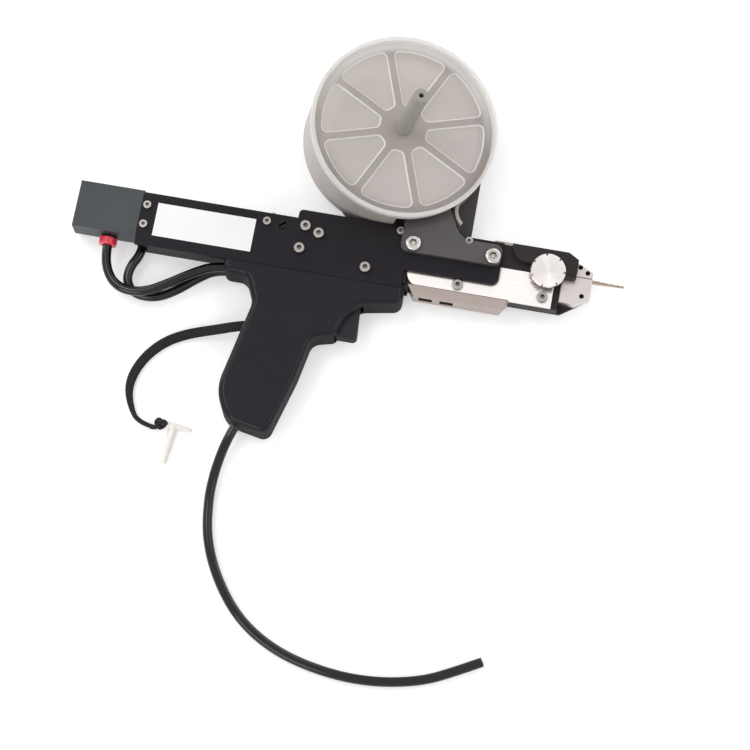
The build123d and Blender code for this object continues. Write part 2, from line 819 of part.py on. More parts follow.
def reel_hub():
    foot = flange_top() + hub_lift
    seat = hub_lift - web_recess
    shoulder = hub_front - hub_taper
    hub = Pos(0, 0, (seat + shoulder) / 2) * Cylinder(hub_diameter / 2, shoulder - seat)
    hub += Pos(0, 0, (foot + seat) / 2) * Cylinder(journal_diameter / 2, seat - foot)
    hub += Pos(0, 0, shoulder + hub_taper / 2) * Cone(hub_diameter / 2, hub_tip_diameter / 2, hub_taper)
    bore_length = axle_front + hub_lift - foot
    hub -= Pos(0, 0, foot + bore_length / 2) * Cylinder(axle_diameter / 2 + running_gap, bore_length)
    hub -= Pos(0, 0, hub_front) * Cylinder(hub_hole / 2, 2 * hub_front)
    return reel_place * hub


def reel_support_plate():
    corners = (
        (support_tab_rear, body_top, 0), (support_tab_front, body_top, 0), (support_tab_front, raise_top, 0),
        (support_front, raise_top, corner_radius), (support_front, support_upper, support_corner),
        (support_rear, support_upper, support_corner), (support_rear, support_low, corner_radius),
        (support_tab_rear, raise_top, 0),
    )
    return panel(corners, support_floor, support_top)


def bracket_screws():
    return screw_set(button_screw, button_screw_places, right_face + bracket_thick, domed=True)


def reel_bracket():
    corners = (
        (bracket_rear, bracket_bottom, corner_radius), (bracket_front, bracket_bottom, corner_radius),
        (bracket_front, bracket_foot, corner_radius),
        (tongue_front + bracket_fillet, bracket_foot, bracket_fillet),
        (tongue_front, tongue_top, corner_radius),
        (bracket_rear + bracket_fillet / 2, tongue_top, corner_radius),
        (bracket_rear, bracket_foot + bracket_fillet, corner_radius),
    )
    plate = break_top(panel(corners, right_face, right_face + bracket_thick))
    for x, y in small_screw_places:
        plate -= rod_z(x, y, 0, right_face + bracket_thick + overrun, small_screw[0] + 2 * hole_gap)
    return drill(plate, button_screw, button_screw_places, right_face + bracket_thick)


def grip_corners():
    reach = grip_front - grip_rear
    corners = []
    for x_share, y_share, radius_share in grip_outline_shares:
        x = grip_rear + x_share * reach
        y = body_bottom - y_share * grip_height
        corners.append((x, y, radius_share * grip_corner))
    return corners


def valve_ribs():
    """Cradle ribs that carry the valve body, the full depth of the grip."""
    quarter = (valve_front - valve_rear) / 4
    half = valve_diameter / 2 + valve_rib_thick
    ribs = []
    z_low = grip_wall / 2
    for x in (valve_rear + quarter, valve_front - quarter):
        far = x + valve_rib_thick
        ribs.append(block(x, far, valve_y - half, valve_y + half, z_low, right_face - z_low))
    return ribs


def grip_screw_places():
    reach = grip_front - grip_rear
    return [(grip_rear + x * reach, body_bottom - y * grip_height) for x, y in grip_screw_shares]


def trigger_slot():
    half = trigger_width / 2 + trigger_slot_gap
    low = pivot_y - trigger_length - trigger_slot_gap
    high = pivot_y + trigger_head + trigger_slot_gap
    rear = pivot_x - trigger_back - trigger_swing_room
    front = pivot_x + trigger_reach + trigger_slot_gap
    return block(rear, front, low, high, mid_z - half, mid_z + half)


def hose_sockets():
    """Holes for the two short hoses, the supply hose and the strap."""
    hole = hose_diameter + 2 * hose_gap
    holes = []
    for z in (mid_z - hose_spacing / 2, mid_z + hose_spacing / 2):
        holes.append(rod_x(grip_rear - overrun, grip_rear + hose_socket, hose_boss_y, z, hole))
    holes.append(route_start_hole(supply_hose_route, hose_diameter))
    holes.append(route_start_hole(strap_route, strap_diameter))
    return holes


def route_start_hole(route, diameter):
    """A straight hole along the first run of a route."""
    start = Vector(route[0])
    run = Vector(route[1]) - start
    hole = Solid.make_cylinder(diameter / 2 + hose_gap, run.length, Plane(start, z_dir=run))
    return hole


def below_body(edge):
    return edge.center().Y < body_bottom - hole_gap


def grip_whole():
    """Both halves together, hollow, before they are split on the middle plane."""
    corners = grip_corners()
    whole = panel(corners, 0, right_face)
    rims = whole.faces().filter_by(Axis.Z).edges()
    whole = fillet(rims.sort_by(Axis.Y).filter_by(below_body), grip_edge)
    inside = offset(panel(corners, 0, right_face).faces().sort_by(Axis.Z)[0], -grip_wall)
    cavity = Pos(0, 0, grip_wall) * extrude(inside, right_face - 2 * grip_wall, dir=(0, 0, 1))
    hollow = whole - cavity
    inner = [piece & whole for piece in screw_bosses() + valve_ribs() + [pin_boss(), socket_block()]]
    hollow = hollow + inner
    seat = valve_diameter + 2 * seat_gap
    hollow -= rod_x(valve_rear - overrun, valve_front + overrun, valve_y, mid_z, seat)
    hollow -= trigger_slot()
    hollow -= rod_z(pivot_x, pivot_y, grip_wall, right_face - grip_wall, pivot_diameter + 2 * seat_gap)
    return hollow - plate_lap() - hose_sockets() - strap_pin(seat_gap)


def screw_bosses():
    low = grip_wall / 2
    return [rod_z(x, y, low, right_face - low, 2 * grip_screw_boss) for x, y in grip_screw_places()]


def plate_lap():
    """The step along the top of the grip that the right plate covers."""
    rear = grip_rear - overrun
    front = grip_front + overrun
    return block(rear, front, right_bottom, body_bottom + overrun, right_inner, right_face + overrun)


def pin_boss():
    return rod_z(pivot_x, pivot_y, grip_wall / 2, right_face - grip_wall / 2, 2 * pivot_diameter)


def socket_block():
    """Solid plug behind the rear boss that the short hoses end in."""
    low = body_bottom - grip_outline_shares[-1][1] * grip_height
    return block(grip_rear, grip_rear + hose_socket + grip_wall, low, body_bottom, 0, right_face)


def grip_halves():
    whole = grip_whole()
    reach = 2 * grip_height
    lower = block(-reach, reach, -2 * reach, reach, -overrun, mid_z)
    left = whole & lower
    right = whole - lower
    for x, y in grip_screw_places():
        left -= rod_z(x, y, -overrun, grip_screw_seat(), grip_screw[0] + 2 * hole_gap)
        left -= rod_z(x, y, 0, mid_z + overrun, grip_screw[2] + 2 * hole_gap)
        end = grip_screw_seat() + grip_screw[3] + hole_gap
        right -= rod_z(x, y, 0, end, grip_screw[2] + 2 * seat_gap)
    return left, right


def grip_screw_seat():
    return 2 * grip_screw[1]


def grip_screws():
    seat = grip_screw_seat()
    turned = Rot(180, 0, 0) * screw(grip_screw)
    return Compound([Pos(x, y, seat) * turned for x, y in grip_screw_places()])


def trigger():
    half = trigger_width / 2
    low = pivot_y - trigger_length
    high = pivot_y + trigger_head
    rear = pivot_x - trigger_back
    front = pivot_x + trigger_reach
    corners = (
        (rear, high, trigger_head), (front - trigger_slant, high, trigger_head),
        (front, low, trigger_toe), (rear, low, trigger_toe),
    )
    body = panel(corners, mid_z - half, mid_z + half)
    body = fillet(body.faces().filter_by(Axis.Z).edges(), trigger_round)
    return body - rod_z(pivot_x, pivot_y, 0, right_face, pivot_diameter + 2 * running_gap)


def trigger_pin():
    return rod_z(pivot_x, pivot_y, grip_wall, right_face - grip_wall, pivot_diameter)


def valve_body():
    body = rod_x(valve_rear, valve_front, valve_y, mid_z, valve_diameter)
    body -= rod_x(valve_rear - overrun, valve_front - valve_end_wall, valve_y, mid_z, valve_bore)
    return body - rod_x(valve_rear, valve_front + overrun, valve_y, mid_z, stem_diameter + 2 * running_gap)


def valve_plug():
    return rod_x(valve_rear, valve_plug_front, valve_y, mid_z, valve_bore - 2 * seat_gap)


def valve_stem():
    tip = pivot_x - trigger_back - stem_gap
    stem = rod_x(spool_rear, tip, valve_y, mid_z, stem_diameter)
    spool_front = spool_rear + spool_length
    stem += rod_x(spool_rear, spool_front, valve_y, mid_z, valve_bore - 2 * running_gap)
    waist = spool_length / 3
    groove = rod_x(spool_rear + waist, spool_front - waist, valve_y, mid_z, valve_bore)
    return stem - (groove - rod_x(spool_rear + waist, spool_front - waist, valve_y, mid_z, stem_diameter))


def valve_spring():
    radius = valve_bore / 2 - spring_wire
    length = spool_rear - valve_plug_front - spring_wire
    pitch = length / spring_turns
    path = Helix(pitch=pitch, height=length, radius=radius)
    wire = sweep(Plane(path @ 0, z_dir=path % 0) * Circle(spring_wire / 2), path=path)
    print("valve spring gap between turns", round(pitch - spring_wire, 2))
    return Pos(valve_plug_front + spring_wire / 2, valve_y, mid_z) * Rot(0, 90, 0) * wire


def port_fitting():
    foot = block_low - fitting_length
    body = rod_y(fitting_x, foot, block_low, mid_z, fitting_diameter)
    bore = hose_diameter + 2 * hose_gap
    return body - rod_y(fitting_x, foot - overrun, block_low + overrun, mid_z, bore)


def release_collar():
    high = block_low - fitting_length
    foot = high - collar_length
    collar = rod_y(fitting_x, foot, high, mid_z, collar_diameter)
    rim = collar.edges().filter_by(GeomType.CIRCLE).sort_by(Axis.Y)[0]
    collar = fillet(rim, collar_length / 4)
    bore = hose_diameter + 2 * hose_gap
    return collar - rod_y(fitting_x, foot - overrun, high + overrun, mid_z, bore)


def route_radii(route):
    """Each corner's arc, as large as its two runs allow."""
    points = [Vector(point) for point in route]
    radii = []
    for before, here, after in zip(points, points[1:], points[2:]):
        turn = (here - before).get_angle(after - here)
        shorter = min((here - before).length, (after - here).length)
        radii.append(arc_share * shorter / math.tan(math.radians(turn / 2)))
    return radii


def cord(name, route, diameter, bore=0):
    """A tube along a route of straight runs joined by tangent arcs."""
    radii = route_radii(route)
    path = FilletPolyline(route, radius=radii)
    section = Circle(diameter / 2)
    if bore:
        section -= Circle(bore / 2)
    start = Plane(path @ 0, z_dir=path % 0)
    tube = sweep(start * section, path=path)
    expected = section.area * path.length
    print(name, "length", round(path.length, 1), "radii", [round(radius) for radius in radii])
    print(name, "volume", round(tube.volume), "section times length", round(expected))
    return tube


def strap_pin(gap=0):
    """The cross pin that the strap is tied to, touching the strap's end."""
    start = Vector(strap_route[0])
    run = (Vector(strap_route[1]) - start).normalized()
    centre = start - run * (strap_pin_diameter / 2)
    low = grip_wall / 2
    return rod_z(centre.X, centre.Y, low, right_face - low, strap_pin_diameter + 2 * gap)


def strap_knot():
    x, y, z = strap_route[-1]
    run = (Vector(strap_route[-1]) - Vector(strap_route[-2])).normalized()
    centre = Vector(x, y, z) + run * math.sqrt(knot_radius ** 2 - (strap_diameter / 2) ** 2)
    return centre, run


def t_key():
    near = Plane((-key_bar_length / 2, 0, 0), x_dir=(0, 1, 0), z_dir=(1, 0, 0))
    far = Plane((key_bar_length / 2, 0, 0), x_dir=(0, 1, 0), z_dir=(1, 0, 0))
    bar = loft([near * Circle(key_bar_diameter / 2), far * Circle(key_bar_tip / 2)])
    bar = fillet(bar.edges().filter_by(GeomType.CIRCLE), key_bar_round)
    stem_end = -key_stem_length - key_bar_diameter / 2
    top = Plane((key_stem_offset, 0, 0), x_dir=(1, 0, 0), z_dir=(0, -1, 0))
    low = Plane((key_stem_offset, stem_end, 0), x_dir=(1, 0, 0), z_dir=(0, -1, 0))
    stem_top = top * Ellipse(key_stem_width / 2, key_bar_diameter / 2)
    key = bar + loft([stem_top, low * Ellipse(key_tip_width / 2, key_tip_thick / 2)])
    eye = key_bar_length / 2 - key_bar_diameter / 2
    key -= rod_z(-eye, 0, -key_bar_diameter, key_bar_diameter, key_eye_diameter)
    x, y = key_place
    return Pos(x, y, key_bar_diameter / 2) * Rot(0, 0, key_turn) * key


def label_plate():
    high = label_bottom + label_height
    front = label_rear + label_length
    return block(label_rear, front, label_bottom, high, right_face, right_face + label_thick)


def flow_adjuster():
    low = right_inner - guide_thick
    top = right_face + adjuster_proud
    screw_body = rod_z(adjuster_x, adjuster_y, low, top, adjuster_diameter)
    reach = adjuster_diameter
    half = adjuster_slot / 2
    slot = block(-reach, reach, -half, half, right_face - adjuster_proud, top + overrun)
    return screw_body - Pos(adjuster_x, adjuster_y, 0) * Rot(0, 0, adjuster_turn) * slot


def knot_ball():
    centre, run = strap_knot()
    ball = Pos(centre) * Sphere(knot_radius)
    end = Vector(strap_route[-1])
    side = 4 * knot_radius
    cut = Plane(end, z_dir=run) * Pos(0, 0, -side / 2) * Box(side, side, side)
    floor = block(end.X - side, end.X + side, end.Y - side, end.Y + side, -side, 0)
    return ball - cut - floor


def build_parts():
    left_half, right_half = grip_halves()
    return {
        "left_side_plate": left_side_plate(),
        "right_side_plate": right_side_plate(),
        "base_rail": base_rail(),
        "top_rail": top_rail(),
        "stop_pin": stop_pin(),
        "reel_mount_block": reel_mount_block(),
        "cylinder_block": cylinder_block(),
        "cylinder_tube": cylinder_tube(),
        "rod_gland": rod_gland(),
        "piston": piston(),
        "piston_seals": piston_seals(),
        "piston_rod": piston_rod(),
        "driver_slide": driver_slide(),
        "slide_guide": slide_guide(),
        "ejector_rod": ejector_rod(),
        "front_frame": front_frame(),
        "cover_plate": cover_plate(),
        "guard_rail": guard_rail(),
        "guard_screws": guard_screws(),
        "stock_guide": stock_guide(),
        "nose_block": nose_block(),
        "feed_bushing": feed_bushing(),
        "feed_knob": feed_knob(),
        "feed_shaft": feed_shaft(),
        "feed_sprocket": feed_sprocket(),
        "lower_jaw": lower_jaw(),
        "upper_jaw": upper_jaw(),
        "needle": needle(),
        "nose_screws": nose_screws(),
        "reel_support_plate": reel_support_plate(),
        "reel_case": reel_case(),
        "reel_axle": reel_axle(),
        "reel_hub": reel_hub(),
        "reel_bracket": reel_bracket(),
        "grip_left_half": left_half,
        "grip_right_half": right_half,
        "grip_screws": grip_screws(),
        "trigger": trigger(),
        "trigger_pin": trigger_pin(),
        "valve_body": valve_body(),
        "valve_plug": valve_plug(),
        "valve_stem": valve_stem(),
        "valve_spring": valve_spring(),
        "port_fitting": port_fitting(),
        "release_collar": release_collar(),
        "rear_hose": cord("rear hose", rear_hose_route, hose_diameter, hose_bore),
        "front_hose": cord("front hose", front_hose_route, hose_diameter, hose_bore),
        "supply_hose": cord("supply hose", supply_hose_route, hose_diameter, hose_bore),
        "wrist_strap": cord("wrist strap", strap_route, strap_diameter),
        "strap_pin": strap_pin(),
        "strap_knot": knot_ball(),
        "t_key": t_key(),
        "label_plate": label_plate(),
        "flow_adjuster": flow_adjuster(),
        "rear_screws": screw_set(small_screw, rear_screw_places, right_face),
        "small_screws": screw_set(small_screw, small_screw_places, right_face),
        "body_screws": screw_set(cap_screw, cap_screw_places, right_face),
        "bracket_screws": bracket_screws(),
        "cover_screws": screw_set(cover_screw, cover_screw_places, right_inner),
    }


os.makedirs("parts", exist_ok=True)
for node, shape in build_parts().items():
    export_step(shape, "parts/" + node + ".step")
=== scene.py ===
import json
import math

import bmesh
import bpy
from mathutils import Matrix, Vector


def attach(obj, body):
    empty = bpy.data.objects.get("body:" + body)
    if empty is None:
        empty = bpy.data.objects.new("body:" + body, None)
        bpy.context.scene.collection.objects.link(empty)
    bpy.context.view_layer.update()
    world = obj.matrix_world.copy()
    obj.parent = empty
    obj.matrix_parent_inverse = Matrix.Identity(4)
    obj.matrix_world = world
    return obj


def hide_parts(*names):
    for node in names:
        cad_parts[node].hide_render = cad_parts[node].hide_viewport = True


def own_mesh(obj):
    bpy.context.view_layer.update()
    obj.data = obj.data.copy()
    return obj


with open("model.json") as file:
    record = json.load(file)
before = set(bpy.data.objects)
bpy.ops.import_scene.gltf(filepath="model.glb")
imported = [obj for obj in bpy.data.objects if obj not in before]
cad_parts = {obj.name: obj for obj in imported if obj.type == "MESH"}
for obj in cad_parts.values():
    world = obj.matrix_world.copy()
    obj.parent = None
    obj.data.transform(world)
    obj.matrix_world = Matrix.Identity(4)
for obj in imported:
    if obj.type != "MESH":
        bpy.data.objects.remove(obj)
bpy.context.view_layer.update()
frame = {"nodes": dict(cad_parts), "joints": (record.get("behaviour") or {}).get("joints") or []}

nodes = frame["nodes"]
joints = {joint["name"]: joint for joint in frame["joints"]}
scene = bpy.context.scene
scene.view_settings.view_transform = "Standard"
mm = 0.001


# Camera

camera_place = (0.1260, -0.4294, 1.3417)
camera_tilt, camera_turn = math.radians(15), math.radians(10)
camera_data = bpy.data.cameras.new("camera")
camera_data.lens = 100.8
camera_data.sensor_width = 36.0
camera = bpy.data.objects.new("camera", camera_data)
camera.location = camera_place
camera.rotation_euler = (camera_tilt, 0, camera_turn)
scene.collection.objects.link(camera)
scene.camera = camera


# Material kit

noise_rough = 0.55
noise_low, noise_high = 0.3, 0.7


class Tree:
    """One material's node tree, with short calls for the nodes that the finishes use."""

    def __init__(self, name, **constants):
        self.material = bpy.data.materials.new(name)
        self.material.use_nodes = True
        self.nodes = self.material.node_tree.nodes
        self.links = self.material.node_tree.links
        self.shader = self.nodes["Principled BSDF"]
        coordinates = self.nodes.new("ShaderNodeTexCoord")
        self.place = coordinates.outputs["Object"]
        self.uv = coordinates.outputs["UV"]
        self.normal = coordinates.outputs["Normal"]
        for key, value in constants.items():
            self.shader.inputs[key.replace("_", " ")].default_value = value

    def add(self, kind, inputs, output=0, **settings):
        """A new node's output. Its inputs are values, or outputs of other nodes."""
        node = self.nodes.new("ShaderNode" + kind)
        for key, value in settings.items():
            setattr(node, key, value)
        for key, value in inputs.items():
            if isinstance(value, bpy.types.NodeSocket):
                self.links.new(value, node.inputs[key])
            else:
                node.inputs[key].default_value = value
        return node.outputs[output]

    def put(self, key, value):
        self.links.new(value, self.shader.inputs[key])

    def noise(self, scale, detail=3.0, stretch=(1, 1, 1), turn=0.0):
        """A noise over the object's own coordinates, drawn out along an axis and turned about Z."""
        place = self.add("Mapping", {"Vector": self.place, "Scale": stretch,
                                     "Rotation": (0, 0, math.radians(turn))})
        return self.add("TexNoise", {"Vector": place, "Scale": scale, "Detail": detail,
                                     "Roughness": noise_rough})

    def math(self, operation, a, b=0.0):
        return self.add("Math", {0: a, 1: b}, operation=operation)

    def span(self, value, low, high, to_low, to_high):
        return self.add("MapRange", {"Value": value, "From Min": low, "From Max": high,
                                     "To Min": to_low, "To Max": to_high})

    def spread(self, noise, low, high):
        """A noise, most of which lies between noise_low and noise_high, spread from low to high."""
        return self.span(noise, noise_low, noise_high, low, high)

    def ramp(self, value, *stops):
        """Colours at places from 0 to 1."""
        node = self.nodes.new("ShaderNodeValToRGB")
        elements = node.color_ramp.elements
        while len(elements) < len(stops):
            elements.new(0.5)
        for element, (place, colour) in zip(elements, stops):
            element.position = place
            element.color = (*colour, 1)
        self.links.new(value, node.inputs[0])
        return node.outputs[0]

    def drift(self, noise, colour, down, up):
        """A colour that the noise takes from a darker share of it to a lighter one."""
        return self.ramp(noise, (noise_low, shaded(colour, 1 - down)), (noise_high, shaded(colour, 1 + up)))

    def mix(self, share, first, second):
        node = self.nodes.new("ShaderNodeMix")
        node.data_type = "RGBA"
        for index, value in ((0, share), (6, first), (7, second)):
            if isinstance(value, bpy.types.NodeSocket):
                self.links.new(value, node.inputs[index])
            else:
                node.inputs[index].default_value = value if index == 0 else (*value, 1)
        return node.outputs[2]

    def bump(self, height, strength, distance):
        return self.add("Bump", {"Height": height, "Strength": strength, "Distance": distance})

    def parts(self, vector):
        """The vector's x, y and z."""
        node = self.nodes.new("ShaderNodeSeparateXYZ")
        self.links.new(vector, node.inputs[0])
        return node.outputs

    def radius(self, arm):
        """How far a vector reaches from the Z axis."""
        flat = self.add("VectorMath", {0: arm, 1: (1, 1, 0)}, operation="MULTIPLY")
        return self.add("VectorMath", {0: flat}, output="Value", operation="LENGTH")


def shaded(colour, share):
    return tuple(share * c for c in colour)


cloud_scale, grain_depth = 22, 0.1 * mm
side_level, edge_level = (0.15, 0.4), (0.94, 0.985)
scuff_scale, scuff_stretch, scuff_turn = 140, (0.06, 1, 1), 24
scuff_level, scuff_share = (0.36, 0.44), 0.5
# Painted shade: reach, levels and samples of the darker colour where ambient occlusion finds hollows and
# parts close by
crevice_shade_reach, crevice_shade_level, crevice_shade_samples = 2.2 * mm, (0.35, 0.9), 8


def finish(name, colour, rough, drift=0.12, fine=900.0, stretch=(1, 1, 1), relief=0.15, scuff=None,
           grime=None, walls=0.0, polish=0.0, **constants):
    """A finish whose colour drifts slowly, with a fine grain in its gloss and relief, light scuffs and
    painted shade in its hollows.

    walls is how much duller the upright sides are, and polish how much glossier the rounded edges are."""
    tree = Tree(name, **constants)
    slow = tree.noise(cloud_scale, detail=4)
    tint = tree.drift(slow, colour, drift, drift)
    grain = tree.noise(fine, stretch=stretch)
    gloss = tree.spread(grain, *rough)
    if walls:
        level = tree.math("ABSOLUTE", tree.parts(tree.normal)[2])
        gloss = tree.math("ADD", gloss, tree.span(level, *side_level, walls, 0.0))
        gloss = tree.math("ADD", gloss, tree.span(level, *edge_level, -polish, 0.0))
    if scuff:
        lines = tree.noise(scuff_scale, detail=2, stretch=scuff_stretch, turn=scuff_turn)
        marks = tree.span(tree.math("MULTIPLY", lines, slow), *scuff_level, 0.0, scuff_share)
        tint = tree.mix(marks, tint, scuff)
    # Painted shade in hollows and where parts meet, from ambient occlusion
    if grime:
        open_air = tree.add("AmbientOcclusion", {"Distance": crevice_shade_reach}, output="AO", samples=crevice_shade_samples)
        tint = tree.mix(tree.span(open_air, *crevice_shade_level, 0.0, 1.0), grime, tint)
    tree.put("Base Color", tint)
    tree.put("Roughness", gloss)
    tree.put("Normal", tree.bump(grain, relief, grain_depth))
    return tree.material


def spun(name, colour, centre):
    """Turned metal: fine rings about an upright axis."""
    ring_scale, ring_depth, stain_scale = 2600.0, 0.06 * mm, 60
    tree = Tree(name, Metallic=1.0, Anisotropic=0.75)
    arm = tree.add("VectorMath", {0: tree.place, 1: centre}, operation="SUBTRACT")
    rings = tree.add("TexNoise", {"W": tree.radius(arm), "Scale": ring_scale, "Detail": 2.0},
                     noise_dimensions="1D")
    tree.put("Base Color", tree.drift(tree.noise(stain_scale), colour, 0.1, 0.05))
    tree.put("Roughness", tree.spread(rings, 0.22, 0.38))
    tree.put("Normal", tree.bump(rings, 0.25, ring_depth))
    tree.put("Tangent", tree.add("Tangent", {}, direction_type="RADIAL", axis="Z"))
    return tree.material


def frosted(name, centre, lean):
    """Milky moulded plastic that lets light and near shapes through, with a painted highlight along the
    panels' sloping edges and painted light on the upper part of its outer margin.

    Heights are below the rim, along the leaning axis. The panels' floors are 6 mm down and the ribs 5 mm."""
    panel, rib = (0.66, 0.605, 0.58), (0.47, 0.42, 0.40)
    edge_highlight, rim, yellowed = (1.0, 0.98, 0.96), (0.97, 0.95, 0.93), (0.78, 0.77, 0.68)
    lowest = -8.0 * mm
    # The pale band between the panel and rib heights is a painted highlight on the panels' sloping edges
    bands = ((-8.0, panel), (-5.984, panel), (-5.904, edge_highlight), (-5.104, edge_highlight), (-5.016, rib), (-4.96, rib),
             (-4.64, rim), (0.0, rim))
    # Painted light: where and how strongly the outer margin is paled towards the top
    margin_reach, painted_light_rise, painted_light_share = (53 * mm, 57 * mm), (-5 * mm, 35 * mm), 0.9
    clear_reach, clear_inside, clear_outside = (50 * mm, 56 * mm), 0.28, 0.42
    yellow_scale, yellow_share, grain_scale = 14, 0.16, 650
    tree = Tree(name, IOR=1.3)
    upright = tree.add("VectorRotate", {"Vector": tree.place, "Center": centre, "Angle": -lean},
                       rotation_type="Y_AXIS")
    local = tree.add("VectorMath", {0: upright, 1: centre}, operation="SUBTRACT")
    far = tree.radius(local)
    _, up, height = tree.parts(local)
    tint = tree.ramp(tree.span(height, lowest, 0.0, 0.0, 1.0),
                     *((1 - h * mm / lowest, colour) for h, colour in bands))
    # Painted light: the outer margin is paler towards the top, where light comes through the wall
    margin = tree.span(far, *margin_reach, 0.0, 1.0)
    painted_light = tree.math("MULTIPLY", margin, tree.span(up, *painted_light_rise, 0.0, painted_light_share))
    tint = tree.mix(painted_light, tint, rim)
    stains = tree.spread(tree.noise(yellow_scale, detail=5), 0.0, yellow_share)
    tree.put("Base Color", tree.mix(stains, tint, yellowed))
    grain = tree.noise(grain_scale)
    tree.put("Roughness", tree.spread(grain, 0.3, 0.42))
    tree.put("Normal", tree.bump(grain, 0.1, grain_depth))
    tree.put("Transmission Weight", tree.span(far, *clear_reach, clear_inside, clear_outside))
    return tree.material


def braid(name):
    """Black woven cord: two sets of yarns that cross round it, on the cord's own length and turn."""
    yarn_pitch, yarn_turns, yarn_depth, fuzz_scale = 2.1 * mm, 3, 0.3 * mm, 2600
    # The hollow colour is painted shade between the yarns; the crown colour is the yarn's own
    hollow, crown = (0.002, 0.002, 0.002), (0.012, 0.012, 0.012)
    tree = Tree(name, Sheen_Weight=0.08, Sheen_Roughness=0.5, Specular_IOR_Level=0.25)
    run, turn, _ = tree.parts(tree.uv)
    along = tree.math("MULTIPLY", run, 2 * math.pi / yarn_pitch)
    about = tree.math("MULTIPLY", turn, 2 * math.pi * yarn_turns)
    one = tree.math("SINE", tree.math("ADD", along, about))
    other = tree.math("SINE", tree.math("SUBTRACT", along, about))
    yarns = tree.math("MAXIMUM", one, other)
    fuzz = tree.noise(fuzz_scale)
    # Painted shade: the colour is darker in the hollows between the yarns than on their crowns
    tree.put("Base Color", tree.ramp(tree.span(yarns, -1, 1, 0, 1), (0.2, hollow), (0.9, crown)))
    tree.put("Roughness", tree.spread(fuzz, 0.5, 0.75))
    tree.put("Normal", tree.bump(tree.math("ADD", yarns, fuzz), 0.7, yarn_depth))
    return tree.material


# Looks, and the nodes that wear them

brushed_x, brushed_y = (0.03, 1, 1), (1, 0.03, 1)
anodised = dict(rough=(0.4, 0.54), relief=0.08, Specular_IOR_Level=0.17)
grey_anodised = dict(rough=(0.4, 0.5), drift=0.08, Metallic=0.5, Specular_IOR_Level=0.2)
machined = dict(rough=(0.26, 0.4), drift=0.08, stretch=brushed_x, relief=0.03, Metallic=1.0)
hardware = dict(fine=1500, Metallic=1.0)
satin_moulding = dict(rough=(0.26, 0.34), fine=1900, relief=0.08, walls=0.55, polish=0.13,
                      Specular_IOR_Level=0.18)
# A finish's second, darker colour for hollows is painted shade
finishes = {
    "black_plate": dict(anodised, colour=(0.0105, 0.0078, 0.0118), drift=0.2, stretch=brushed_x,
                        scuff=(0.03, 0.027, 0.03)),
    "nose_black": dict(anodised, colour=(0.024, 0.0195, 0.0205), drift=0.2, stretch=brushed_x),
    "support_black": dict(anodised, colour=(0.074, 0.067, 0.067), drift=0.15),
    "grey_block": dict(grey_anodised, colour=(0.060, 0.066, 0.069), stretch=brushed_y, relief=0.06),
    "bracket_grey": dict(grey_anodised, colour=(0.092, 0.085, 0.089), stretch=brushed_x, relief=0.08),
    "bright": dict(colour=(0.93, 0.88, 0.855), rough=(0.22, 0.36), drift=0.05, stretch=brushed_x, relief=0.06,
                   grime=(0.3, 0.26, 0.23), Metallic=1.0),
    "guard": dict(machined, colour=(0.41, 0.345, 0.315), grime=(0.05, 0.045, 0.04)),
    "jaw": dict(machined, colour=(0.66, 0.60, 0.58), grime=(0.08, 0.07, 0.06)),
    "needle": dict(colour=(0.50, 0.41, 0.33), rough=(0.18, 0.3), stretch=brushed_x, Metallic=1.0),
    "screw": dict(hardware, colour=(0.40, 0.385, 0.355), rough=(0.2, 0.36), grime=(0.035, 0.03, 0.024)),
    "warm_screw": dict(hardware, colour=(0.54, 0.53, 0.51), rough=(0.16, 0.3), grime=(0.10, 0.06, 0.035)),
    "dark_screw": dict(hardware, colour=(0.03, 0.028, 0.028), rough=(0.25, 0.4), grime=(0.003, 0.003, 0.003)),
    "bronze": dict(colour=(0.55, 0.38, 0.2), rough=(0.3, 0.45), Metallic=1.0),
    "slide_plastic": dict(colour=(0.8, 0.79, 0.75), rough=(0.4, 0.55), drift=0.04),
    "seal": dict(colour=(0.012, 0.012, 0.012), rough=(0.6, 0.8), fine=1800),
    "hub": dict(colour=(0.345, 0.325, 0.29), rough=(0.3, 0.45), drift=0.08, stretch=(1, 1, 0.1)),
    "moulded": dict(satin_moulding, colour=(0.0115, 0.0108, 0.0145)),
    # The trigger wears the grip's moulding at twice the brightness: painted light that makes up for the shade
    # it sits in
    "trigger_lit_moulding": dict(satin_moulding, colour=(0.023, 0.022, 0.027)),
    "red": dict(colour=(0.78, 0.04, 0.075), rough=(0.18, 0.3), drift=0.08, Coat_Weight=0.3),
    "hose": dict(colour=(0.004, 0.0038, 0.0038), rough=(0.05, 0.1), drift=0.2, fine=320, relief=0.03,
                 Specular_IOR_Level=0.4),
    "white": dict(colour=(0.9, 0.86, 0.81), rough=(0.3, 0.45), drift=0.03, fine=700),
    "label": dict(colour=(0.88, 0.875, 0.87), rough=(0.35, 0.5), drift=0.025, fine=1200),
}
looks = {name: finish(name, **settings) for name, settings in finishes.items()}

reel_centre, reel_axis = joints["hub_turn"]["pos_m"], joints["hub_turn"]["axis"]
looks["frosted"] = frosted("frosted", reel_centre, math.atan2(reel_axis[0], reel_axis[2]))
looks["knob"] = spun("knob", (0.85, 0.80, 0.775), joints["feed_turn"]["pos_m"])
looks["braid"] = braid("braid")

